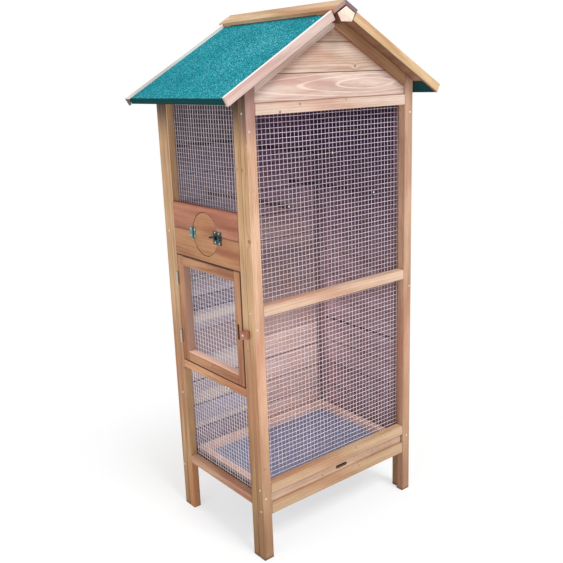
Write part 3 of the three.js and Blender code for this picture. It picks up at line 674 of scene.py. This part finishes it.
# %% Sticks
STICKS = {
    "front_left_post": ("z", FRONT), "front_right_post": ("z", FRONT_RIGHT),
    "back_left_post": ("z", SIDE_BACK), "back_right_post": ("z", SHADED_CORNER),
    "left_front_stile": ("z", SIDE), "left_back_stile": ("z", SIDE_BACK),
    "right_front_stile": ("z", SIDE), "right_back_stile": ("z", SHADED_CORNER),
    "front_lower_rail": ("x", LOW_RAIL), "front_bottom_rail": ("x", LOW_RAIL),
    "front_middle_rail": ("x", RAIL), "front_top_rail": ("x", GABLE),
    "left_bottom_rail": ("y", LEFT_FOOT_RAIL), "left_middle_rail": ("y", ORANGE_RAIL),
    "left_top_rail": ("y", SIDE), "drawer_runner_frame": ("y", SIDE),
    "back_wall_boards": ("x", BACK_WALL), "right_wall_boards": ("y", SHADED_RIGHT_WALL),
    "nest_lower_board": ("y", NEST), "nest_upper_board": ("y", NEST_RED),
    "nest_door": ("y", NEST), "front_left_rafter": ("left_slope", LEFT_RAFTER),
    "front_right_rafter": ("right_slope", RIGHT_RAFTER), "back_rafters": ("x", SIDE),
    "ridge_left_cap": ("y", CAP), "ridge_right_cap": ("y", CAP),
    "door_latch_stile": ("z", DOOR), "door_hinge_stile": ("z", DOOR),
    "door_bottom_rail": ("y", DOOR), "door_top_rail": ("y", DOOR),
    "drawer_frame": ("x", TRAY), "roof_left_board": ("y", UNDER_ROOF_SHADE),
    "roof_right_board": ("y", RIGHT_UNDER_ROOF_SHADE), "door_turn_button": ("y", BUTTON),
    "gable_lower_board": ("x", LOWER_GABLE), "gable_middle_board": ("x", GABLE),
    "gable_top_board": ("x", GABLE), "front_left_bargeboard": ("left_slope", PINK_EDGE),
    "front_right_bargeboard": ("right_slope", YELLOW_EDGE),
    "back_left_bargeboard": ("left_slope", PALE_EDGE),
    "back_right_bargeboard": ("right_slope", YELLOW_EDGE), "ridge_beam": ("y", BEAM_SIDE_SHADE),
    "left_perch": ("y", SHADED_PERCH), "right_perch": ("y", SHADED_PERCH), "middle_perch": ("y", SHADED_PERCH),
}
print("sticks:", len(STICKS))

# %% [markdown]
# ### Marks of single sticks
# These are the knots, open joints and darker boards that can be told apart on the real cage, and
# the painted light and shade: shadows in gaps, slots and corners, and pale faces where light falls.
# A map painted for each stick would hold them too, but a list of places in millimetres can be read
# and measured. A patch is an upright box, given by two corners, with its tint and how strong it is.

# %% Marks of the gable and roof
def knot(x, y, z, radius):
    """A knot's place and radius, given in millimetres."""
    return (mm(x), mm(y), mm(z)), mm(radius)


SPECIAL = {
    "gable_lower_board": {"heart": (0.0, 0.0053), "eye": 0.11, "eye_share": 0.0028,
                          "ring": 0.00762, "contrast": -0.85, "sharp": 20.0, "wander": 0.0016,
                          "base": 0.7, "lines": [1268.5], "rafter_line": True},
    "gable_middle_board": {"knots": [knot(71.4, -196, 1277.4, 4.2)], "contrast": 0.5, "tone": 0.98,
                           "lines": [1264.5, 1339.8], "rafter_line": True},
    # The top board is painted darker as shade under the roof.
    "gable_top_board": {"lines": [1335.6], "rafter_line": True, "tone": 0.9},
    "front_top_rail": {"knots": [knot(-181, -201, 1177.5, 4), knot(-118.5, -201, 1192.9, 3.5),
                                 knot(34, -201, 1197, 2.5)]},
    # The beam's front end is pale end grain, painted paler still as lit, against its shaded sides.
    "ridge_beam": {"end_grain": 0.0, "contrast": 0.12, "sawn": (244, 220, 202)},
    "back_left_bargeboard": {"patches": [((-366, 215, 1190), (-349, 230, 1215),
                                          (34, 42, 42), 0.88)]},
    "ridge_left_cap": {"sawn": (160, 130, 126)}, "ridge_right_cap": {"sawn": (118, 96, 108)},
}
# Each bargeboard gets a painted highlight on its top face and painted shade on its lower edge.
for corner in ("front_left", "front_right", "back_left", "back_right"):
    SPECIAL.setdefault(corner + "_bargeboard", {}).update(
        {"top_highlight": True, "underside": (96, 74, 50)})
print("marked sticks so far:", len(SPECIAL))

# %% Marks of the two doors
# Painted shadow in the gaps round the doors and painted shade in the finger slots.
GAP_SHADOW = (84, 46, 34)
SLOT_SHADE = (84, 50, 38)
SPECIAL.update({
    "door_latch_stile": {"patches": [((-283.4, -135, 613), (-262, -126, 657), SLOT_SHADE, 0.8),
                                     ((-285, -149, 480), (-261, -145.8, 800), GAP_SHADOW, 0.9)]},
    # Painted light on the hinge stile's reveal, and painted shadow in its gap.
    "door_hinge_stile": {"patches": [((-285, 120, 500), (-261, 121.4, 780), (168, 131, 113), 0.9),
                                     ((-285, 147.6, 480), (-261, 150, 800), GAP_SHADOW, 0.7)]},
    "door_bottom_rail": {
        "knots": [knot(-284, 3, 501, 4.5)],
        # Painted light on the top face of the bottom rail, and painted shadow in the gap below it.
        "patches": [((-285, -121, 513.8), (-261, 121, 516), (255, 208, 184), 1.0),
                    ((-285, -121, 486), (-261, 121, 488), GAP_SHADOW, 0.8)]},
    "door_top_rail": {"patches": [((-285, -121, 790.8), (-261, 121, 795), GAP_SHADOW, 0.85)]},
    "nest_lower_board": {"lines": [871.0],
                         "patches": [((-285, -152, 795), (-269, 152, 797.6), GAP_SHADOW, 0.8)]},
    "nest_upper_board": {"lines": [872.0]},
    "left_middle_rail": {"patches": [((-285, -152, 483), (-261, 152, 485), GAP_SHADOW, 0.6)]},
})
print("marked sticks so far:", len(SPECIAL))

# %% Marks of the legs and the tray
# Painted shade: the top of the front left post under the eave, and its left face darker and
# yellower.
TOP_OF_POST_SHADE = (2, 1.09, 1.16, (212, 204, 228))
LEFT_FACE_SHADE = (0, -0.2825, -0.2838, (234, 232, 207))
SPECIAL.update({
    "front_left_post": {"knots": [knot(-284, -195, 878.6, 6.5), knot(-284, -178.5, 1049, 5),
                                  knot(-272.6, -201, 270.6, 3.2), knot(-284, -186.4, 111.5, 5)],
                        "fades": [TOP_OF_POST_SHADE, LEFT_FACE_SHADE], "low_darkening": 0.18, "contrast": 0.45,
                        "eave_shade": 0.6,
                        # Painted shade along the left edge of the front face under the eave, then a
                        # darker foot on the left face.
                        "patches": [((-285, -202, 1110), (-282.4, -199, 1300), (70, 42, 38), 0.6),
                                    ((-285, -202, -1), (-283.2, -170, 150), (150, 110, 76), 0.3)]},
    "left_front_stile": {"knots": [knot(-284, -159, 1049, 3), knot(-284, -167.6, 593, 3.5)],
                         "low_darkening": 0.16},
    "left_back_stile": {
        "knots": [knot(-284, 154, 455, 4)],
        "patches": [((-300, 100, -1), (-250, 220, 152), (178, 116, 74), 0.6),
                    # Painted light on the reveal beside the left upper mesh.
                    ((-283.4, 151, 890), (-261, 153.4, 1200), (250, 200, 156), 0.85)]},
    "left_bottom_rail": {"tone": 1.03},
    # Painted shade under the eave at the top of the post.
    "front_right_post": {"fades": [(2, 1.22, 1.26, (175, 168, 180))]},
    # Painted shade on the inner side of the stile.
    "right_front_stile": {"low_darkening": 0.15,
                          "patches": [((255, -178, 160), (268, -148, 1250), (116, 88, 86), 0.8)]},
    "front_lower_rail": {"knots": [knot(68, -201, 157, 3.2)]},
    "front_bottom_rail": {"knots": [knot(57, -201, 217, 3)]},
    # Painted shade in the slot and on the left bar's outer side face, and painted light on the
    # inner part.
    "drawer_frame": {"knots": [knot(-68, -194, 172, 3.2), knot(130, -194, 178.4, 3.2)],
                     "patches": [((-17, -193.4, 171), (27, -176, 183.5), SLOT_SHADE, 0.8),
                                 ((-300, -170, 150), (300, 200, 200), (228, 190, 180), 0.7),
                                 ((-254, -176, 150), (-252, 172, 200), (84, 58, 66), 0.8)]},
})
print("marked sticks so far:", len(SPECIAL))


# %% Marks of the back and the right wall
def back_joint(low, high, tint, share, right=0):
    """An open joint along the left part of the back wall, between two heights."""
    return (-270, 150, low), (right, 195, high), tint, share


OUTER = ((208, 168, 130), (162, 120, 86))
LEFT, RIGHT = -1, 1
# Bands of painted light and shade on the back wall: pale where light falls, dark where shade falls.
BACK_BANDS = (
    (LEFT, 611, 648, 1, (112, 100, 130), 0.5), (LEFT, 570, 592, 6, (240, 224, 202), 0.5),
    (LEFT, 400, 450, 12, (238, 216, 198), 0.35), (LEFT, 318, 350, 10, (232, 214, 198), 0.4),
    (LEFT, 262, 310, 10, (172, 172, 202), 0.4), (LEFT, 240, 256, 5, (230, 204, 194), 0.4),
    (LEFT, 100, 234, 1, (122, 98, 124), 0.5), (RIGHT, 560, 750, 35, (84, 64, 72), 0.62),
    (LEFT, 1060, 1300, 40, (104, 96, 74), 0.35))
SPECIAL.update({
    "back_wall_boards": {
        "seams": 390, "edge_shade": 0.0, "blushing": 0.15, "outer": OUTER, "bands": BACK_BANDS,
        "patches": [((-270, 150, 467.5), (255, 195, 543.5), (146, 114, 112), 0.5),
                    back_joint(233.6, 237.2, (50, 32, 44), 0.6),
                    back_joint(311, 314.8, (44, 28, 34), 0.8),
                    back_joint(387.6, 392, (40, 26, 32), 0.8),
                    back_joint(606, 611, (46, 30, 38), 0.85),
                    back_joint(646, 650, (46, 30, 38), 0.75),
                    back_joint(709.6, 713, (52, 34, 40), 0.7, right=-130),
                    back_joint(1081, 1088, (14, 8, 14), 1.0)],
        "knots": [knot(-195, 184, 640, 7), knot(-170, 184, 510, 6), knot(-190, 184, 980, 9),
                  knot(-105, 184, 935, 8), knot(-153, 184, 276, 7), knot(-85, 184, 208, 7)],
        # Painted shade: darker and bluer on the left part of the back wall.
        "fades": [(0, 0.05, -0.12, (192, 212, 238))]},
    # Painted shadow in the corner.
    "back_right_post": {"outer": OUTER,
                        "patches": [((250, 174, 150), (262.5, 186, 1250), (84, 60, 74), 0.5)]},
    "right_back_stile": {"outer": OUTER},
    "right_wall_boards": {"seams": 485, "edge_shade": 0.0, "blushing": 0.3,
                          "patches": [((240, -200, 481.6), (290, 200, 488), (34, 20, 28), 0.95)],
                          "knots": [knot(267, -55, 318, 9), knot(267, 20, 860, 8)],
                          "fades": [(1, 0.15, -0.02, (200, 197, 201))], "outer": OUTER},
})
print("all marked sticks:", len(SPECIAL))


# %% Dress the sticks
def dress(node, material):
    nodes[node].data.materials.clear()
    nodes[node].data.materials.append(material)


def stick_size(node, centre, grain):
    """Half sizes of a stick across, through and along the grain, and which way across is up."""
    turn = turning(grain)
    places = [turn @ (vertex.co - centre) for vertex in nodes[node].data.vertices]
    half = [max(abs(place[axis]) for place in places) for axis in range(3)]
    return half, math.copysign(1.0, (turn @ Vector((0, 0, 1))).x)


for node, (grain, (light, dark)) in STICKS.items():
    chance = random.Random(node)
    low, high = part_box(node)
    centre = (low + high) / 2
    half, up = stick_size(node, centre, grain)
    heart = (chance.uniform(0.03, 0.09) * chance.choice((-1, 1)), chance.uniform(-0.05, 0.05))
    settings = {"heart": heart, "ring": chance.uniform(0.0042, 0.0066), "edge_shade": 0.2,
                "tone": chance.uniform(0.97, 1.04)}
    settings.update(SPECIAL.get(node, {}))
    dress(node, stained_wood("wood_" + node, centre, half, up, grain, light, dark, **settings))
print("wood finishes:", len(STICKS))


# %% [markdown]
# ## Roofing felt
# Mineral felt is bitumen with coloured slate granules pressed into it. Each granule is one or two
# millimetres across and has its own shade. Plain noise would blur them together, so the finish is
# made of small cells with random values, and a cloudy noise clumps them.

# %% Felt finish
GRANULES = 520.0
FELT_STOPS = ((0.0, (0, 60, 74)), (0.38, (0, 102, 116)), (0.62, (8, 140, 154)),
              (0.82, (60, 180, 190)), (1.0, (168, 222, 228)))
BARE_AND_SHADED_FELT = (2, 58, 60)
FELT_UNDER = (mm(1411), mm(1407))
FELT_EAVE = (mm(-307.5), mm(-303))


def mineral_felt():
    """Granules on top of the felt. Its underside and its folded edge are bare and dark, and are
    painted darker still as shade.
    """
    bench = Bench("mineral_felt")
    place = object_place(bench)
    spot = axes(place)
    granule = bench.node("ShaderNodeTexVoronoi", inputs={"Vector": place, "Scale": GRANULES})
    own_colour = Signal(bench, granule.socket.node.outputs["Color"])
    level = bench.node("ShaderNodeSeparateColor", inputs=[own_colour])
    clump = noise(place, 250.0, 3.0, 0.7)
    drift = noise(place, 6.0, 2.0)
    mixed = level * 0.65 + clump * 0.9 + (drift - 0.5) * 0.3 - 0.23
    colour = bench.node("ShaderNodeValToRGB", {
        "stops": [(share, paint(*tint)) for share, tint in FELT_STOPS]}, [mixed])
    under = ramp(roof_height(spot), *FELT_UNDER)
    up_slope = (spot[0].math("ABSOLUTE") * math.cos(ROOF_SLOPE)
                - spot[2] * math.sin(ROOF_SLOPE))
    eave = ramp(up_slope, *FELT_EAVE)
    colour = blend(under.math("MAXIMUM", eave), colour, paint(*BARE_AND_SHADED_FELT))
    bump = bench.node("ShaderNodeBump", inputs={
        "Height": granule, "Strength": 0.6, "Distance": 0.0012})
    bench.surface.inputs["Specular IOR Level"].default_value = 0.15
    return bench.finish(base_color=colour, roughness=0.95, normal=bump)


dress("roof_felt", mineral_felt())
print("felt nodes:", len(nodes["roof_felt"].data.materials[0].node_tree.nodes))


# %% [markdown]
# ## Zinc
# The fittings are steel with a bright zinc coat. The nest's hinge is painted blue-green, a painted
# reflection of green surroundings, and its bolt and the perch washers nearly black, a painted
# reflection of dark ones.
# The wire is hot-dip galvanised, which is duller, and the tray's sheet has a dull bluish bloom.
# Each could have a finish of its own, but they differ only in colour, shine and size of the bloom,
# so one function makes them all. Dull zinc scatters light as paint does, so the wire has no
# metallic share.

# %% Metal finishes
def zinc_metal(name, light, dark, metallic, rough, scale, higher_shade=None):
    """Zinc with a cloudy bloom. The last colour, if given, is painted shade that tints what is high
    up.
    """
    bench = Bench(name)
    place = object_place(bench)
    cloud = noise(place, scale, 3.0, 0.6)
    colour = blend(cloud, paint(*light), paint(*dark))
    if higher_shade:
        colour = blend(ramp(axes(place)[2], 0.5, 1.1), colour, paint(*higher_shade), "MULTIPLY")
    bump = bench.node("ShaderNodeBump", inputs={
        "Height": cloud, "Strength": 0.1, "Distance": 0.0004})
    return bench.finish(base_color=colour, metallic=metallic, normal=bump,
                        roughness=(cloud - 0.5) * 0.3 + rough)


def galvanised_wire(name, light, dark, higher_shade):
    return zinc_metal(name, light, dark, 0.0, 0.5, 90.0, higher_shade)


# The blue-green is a painted reflection of green surroundings.
fitting_zinc = zinc_metal("fitting_zinc", (140, 180, 176), (24, 66, 68), 0.85, 0.34, 420.0)
hinge_zinc = zinc_metal("hinge_zinc", (216, 212, 204), (140, 126, 110), 0.7, 0.4, 300.0)
# Nearly black: a painted reflection of dark surroundings.
bolt_zinc = zinc_metal("bolt_zinc", (80, 106, 106), (8, 20, 24), 0.85, 0.4, 420.0)
screw_zinc = zinc_metal("screw_zinc", (232, 230, 222), (192, 190, 180), 0.6, 0.36, 400.0)
sheet_zinc = zinc_metal("sheet_zinc", (146, 154, 184), (112, 122, 154), 0.25, 0.5, 24.0)
# Level and upright wires are lit and shaded copies of one galvanised zinc, painted shade high up.
front_level = galvanised_wire("wire_zinc", (255, 238, 241), (244, 222, 226), (238, 230, 242))
front_upright = galvanised_wire("upright_zinc", (232, 224, 234), (206, 198, 212), (248, 242, 250))
side_level = galvanised_wire("side_wire_zinc", (244, 234, 238), (224, 212, 216), (192, 187, 190))
side_upright = galvanised_wire("side_upright_zinc", (255, 250, 252), (244, 236, 240),
                               (236, 228, 232))
for node in nodes:
    if "leaf" in node:
        dress(node, fitting_zinc if "nest" in node else hinge_zinc)
    elif "nest_bolt" in node:
        dress(node, bolt_zinc)
    elif node.endswith("mesh"):
        dress(node, front_level)
dress("drawer_sheet", sheet_zinc)
print("metal finishes:", sum("zinc" in material.name for material in bpy.data.materials))


# %% [markdown]
# ## Welded wire mesh
# The mesh is welded wire of about half an inch: upright wires, with level wires welded across
# their outer side. The panels were cut from different rolls, so the pitch differs a little from
# one to the next. A see-through picture on a flat sheet would be lighter, but it has no roundness
# and is lost from the side. So each wire is a bar of its own, with only six sides. A real roll
# never lies quite flat or straight, so the bars are extruded in short lengths and are bent by a
# slow wave.

# %% Pieces
def add_piece(name, mesh, material, body, smooth=True):
    """A piece of the scene's own, which moves with a body of the cage."""
    data = bpy.data.meshes.new(name)
    bmesh.ops.recalc_face_normals(mesh, faces=mesh.faces)
    mesh.to_mesh(data)
    mesh.free()
    for face in data.polygons:
        face.use_smooth = smooth
    data.materials.append(material)
    piece = bpy.data.objects.new(name, data)
    scene.collection.objects.link(piece)
    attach(piece, body)
    return piece


# %% Wires
WIRE = mm(1.25)
SWAY = mm(0.5)


def wire_bar(mesh, start, end, steps, radius=WIRE / 2, finish=0):
    """One straight wire between two points, in short lengths that can bend."""
    run = Vector(end) - Vector(start)
    turn = run.to_track_quat("Z", "Y").to_matrix().to_4x4()
    made = bmesh.ops.create_circle(mesh, segments=6, radius=radius, cap_ends=True,
                                   matrix=Matrix.Translation(start) @ turn)
    face = made["verts"][0].link_faces[0]
    face.material_index = finish
    for _ in range(steps):
        grown = bmesh.ops.extrude_face_region(mesh, geom=[face])
        face = next(item for item in grown["geom"] if isinstance(item, bmesh.types.BMFace))
        bmesh.ops.translate(mesh, verts=face.verts, vec=run / steps)


def sway_wires(mesh, across, chance):
    """Bends the wires of a panel sideways and up by slow waves."""
    phases = [chance.uniform(0, math.tau) for _ in range(4)]
    for vert in mesh.verts:
        side, height = vert.co[across], vert.co.z
        vert.co[across] += SWAY * (math.sin(height * 9 + phases[0])
                                   + 0.5 * math.sin(height * 23 + phases[1]))
        vert.co.z += SWAY * (math.sin(side * 12 + phases[2])
                             + 0.5 * math.sin(side * 29 + phases[3]))


# %% A panel of mesh
UPRIGHT_RADIUS = WIRE * 0.46
UPRIGHT_BEHIND = WIRE * 0.9
UPRIGHT_STEPS, LEVEL_STEPS = 12, 10
FIRST_UPRIGHT, FIRST_LEVEL = mm(4), mm(5)


def welded_mesh(name, node, facing, pitch_across, pitch_up, level, upright):
    """Full wire mesh in the place of a CAD lattice. facing is the axis that it faces along."""
    low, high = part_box(node)
    across = 1 - facing
    outer = low[facing] + WIRE / 2
    mesh = bmesh.new()

    def point(side, height, depth):
        spot = [0, 0, height]
        spot[across] = side
        spot[facing] = depth
        return spot

    side = low[across] + FIRST_UPRIGHT
    while side < high[across]:
        behind = outer + UPRIGHT_BEHIND
        wire_bar(mesh, point(side, low.z, behind), point(side, high.z, behind),
                 UPRIGHT_STEPS, UPRIGHT_RADIUS, finish=1)
        side += pitch_across
    height = low.z + FIRST_LEVEL
    while height < high.z:
        wire_bar(mesh, point(low[across], height, outer), point(high[across], height, outer),
                 LEVEL_STEPS)
        height += pitch_up
    sway_wires(mesh, across, random.Random(name))
    piece = add_piece(name, mesh, level, nodes[node]["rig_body"])
    piece.data.materials.append(upright)
    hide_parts(node)
    return piece


# %% Four panels of mesh
X, Y = 0, 1
PANELS = (
    ("front_wire", "front_mesh", Y, mm(12.7), mm(12.7), front_level, front_upright),
    ("left_upper_wire", "left_upper_mesh", X, mm(11.5), mm(11.4), side_level, side_upright),
    ("left_lower_wire", "left_lower_mesh", X, mm(11.75), mm(11.75), side_level, side_upright),
    ("door_wire", "door_mesh", X, mm(13.5), mm(12.7), side_level, side_upright),
)
for panel in PANELS:
    print(panel[0], "faces:", len(welded_mesh(*panel).data.polygons))


# %% [markdown]
# ## Screws, washers and a staple
# The frame is held by zinc screws with a cross recess. The recess could be cut with a Boolean, but
# that leaves untidy faces on something so small. So the outline of a low dome is spun round, which
# gives a net of rings and spokes, and the points on two crossing spokes are pressed in.

# %% Screw heads
# The outline of a head of radius 1, from its middle out: how far from the middle, and how high
HEAD_OUTLINE = ((0.0, 0.30), (0.34, 0.30), (0.62, 0.27), (0.84, 0.2), (1.0, 0.04), (1.0, -0.1))
HEAD_STEPS = 24
CROSS_REACH, CROSS_DEPTH = 0.7, 0.32
TOUCHING = 1e-4


def spun_head():
    """A domed head of radius 1 that faces up, with a cross pressed into it."""
    head = bmesh.new()
    points = [head.verts.new((out, 0, rise)) for out, rise in HEAD_OUTLINE]
    edges = [head.edges.new(pair) for pair in zip(points, points[1:])]
    bmesh.ops.spin(head, geom=points + edges, axis=(0, 0, 1), angle=math.tau, steps=HEAD_STEPS,
                   use_merge=True)
    bmesh.ops.remove_doubles(head, verts=head.verts, dist=TOUCHING)
    bmesh.ops.holes_fill(head, edges=head.edges, sides=HEAD_STEPS)
    for vert in head.verts:
        on_cross = min(abs(vert.co.x), abs(vert.co.y)) < TOUCHING
        if on_cross and vert.co.xy.length < CROSS_REACH:
            vert.co.z -= CROSS_DEPTH
    data = bpy.data.meshes.new("screw_head")
    head.to_mesh(data)
    head.free()
    return data


screw_head = spun_head()
print("faces of a screw head:", len(screw_head.polygons))


# %% Screws
def heads(places, facing, radius):
    """Several heads of one size that face one way."""
    return [(place, facing, radius) for place in places]


def screws(name, body, all_heads):
    """One piece of many heads, each with a place and a radius in millimetres."""
    mesh = bmesh.new()
    for place, facing, radius in all_heads:
        turn = Vector(facing).to_track_quat("Z", "Y").to_matrix().to_4x4()
        placed = screw_head.copy()
        placed.transform(Matrix.Translation([mm(value) for value in place]) @ turn
                         @ Matrix.Scale(mm(radius), 4))
        mesh.from_mesh(placed)
        bpy.data.meshes.remove(placed)
    return add_piece(name, mesh, screw_zinc, body, smooth=False)


# %% Frame screws
FRONT_SCREWS = [(-273.6, 1137.5), (-275, 654), (-272.1, 182.9), (273.4, 1152), (277, 658),
                (271.5, 183.7)]
SIDE_SCREWS = [(-187.3, 1179), (-186, 696), (-190.9, 208.4), (-192.3, 146), (183, 855.6),
               (171.8, 374), (192.9, 131.6)]
FRONT_FACE = 201
RIDGE_TOP = 1431.5
CAP_SCREW_X, CAP_SCREW_Y = 20, 222
CAP_SCREW_Z = RIDGE_TOP - CAP_SCREW_X * math.tan(ROOF_SLOPE)
FELT_NAIL = (-59.5, -188, 1384.6)


def square_to_roof(sign):
    """The way that the left (-1) or the right (1) slope of the roof faces."""
    return (sign * math.sin(ROOF_SLOPE), 0, math.cos(ROOF_SLOPE))


frame_heads = heads([(x, -FRONT_FACE, z) for x, z in FRONT_SCREWS], (0, -1, 0), 2.9)
frame_heads += heads([(-x, FRONT_FACE, z) for x, z in FRONT_SCREWS], (0, 1, 0), 2.9)
for sign in (-1, 1):
    frame_heads += heads([(sign * SIDE_FACE, y, z) for y, z in SIDE_SCREWS], (sign, 0, 0), 2.6)
    frame_heads += heads([(sign * CAP_SCREW_X, CAP_SCREW_Y, CAP_SCREW_Z)],
                         square_to_roof(sign), 3.4)
frame_heads += heads([FELT_NAIL], square_to_roof(-1), 2.2)
screws("frame_screws", "cage", frame_heads)
print("frame screws:", len(frame_heads))

# %% Perch screws
PERCH_ENDS = [(-145, 944), (155, 944), (5, 1064)]
WASHER_RADIUS, WASHER_THICKNESS, WASHER_Y = mm(5.2), mm(1.2), mm(-178.4)
washers = bmesh.new()
for x, z in PERCH_ENDS:
    place = Matrix.Translation((mm(x), WASHER_Y, mm(z)))
    bmesh.ops.create_cone(washers, segments=28, cap_ends=True, radius1=WASHER_RADIUS,
                          radius2=WASHER_RADIUS, depth=WASHER_THICKNESS,
                          matrix=place @ Matrix.Rotation(math.radians(90), 4, "X"))
add_piece("perch_washers", washers, bolt_zinc, "cage", smooth=False)
screws("perch_screws", "cage", heads([(x, -179, z) for x, z in PERCH_ENDS], (0, -1, 0), 2.8))
print("perch screws:", len(PERCH_ENDS))

# %% Fitting screws
LEAF_FACE, PLATE_FACE, BUTTON_FACE = -285.2, -285.5, -294.5
for name, body, face, y, levels in (
        ("nest_hinge_frame_screws", "cage", LEAF_FACE, 66.2, (859, 876.6)),
        ("nest_hinge_door_screws", "nest_door", LEAF_FACE, 47.2, (859, 876.6)),
        ("bolt_plate_screws", "nest_door", PLATE_FACE, -49.5, (882, 856)),
        ("bolt_keeper_screws", "cage", PLATE_FACE, -67, (881, 855))):
    screws(name, body, heads([(face, y, z) for z in levels], (-1, 0, 0), 2.3))
screws("turn_button_screw", "turn_button",
       heads([(BUTTON_FACE, -162, 635.5)], (-1, 0, 0), 3.2))

# %% Staple
STAPLE_X, STAPLE_RADIUS = -284.6, mm(2)
STAPLE = [[mm(STAPLE_X), mm(y), mm(z)]
          for y, z in ((-72, 465), (-72, 455.5), (-60, 455.5), (-60, 465))]
staple = bmesh.new()
for start, end in zip(STAPLE, STAPLE[1:]):
    wire_bar(staple, start, end, 2, STAPLE_RADIUS)
add_piece("rail_staple", staple, screw_zinc, "cage")
print("staple lengths:", len(STAPLE) - 1)
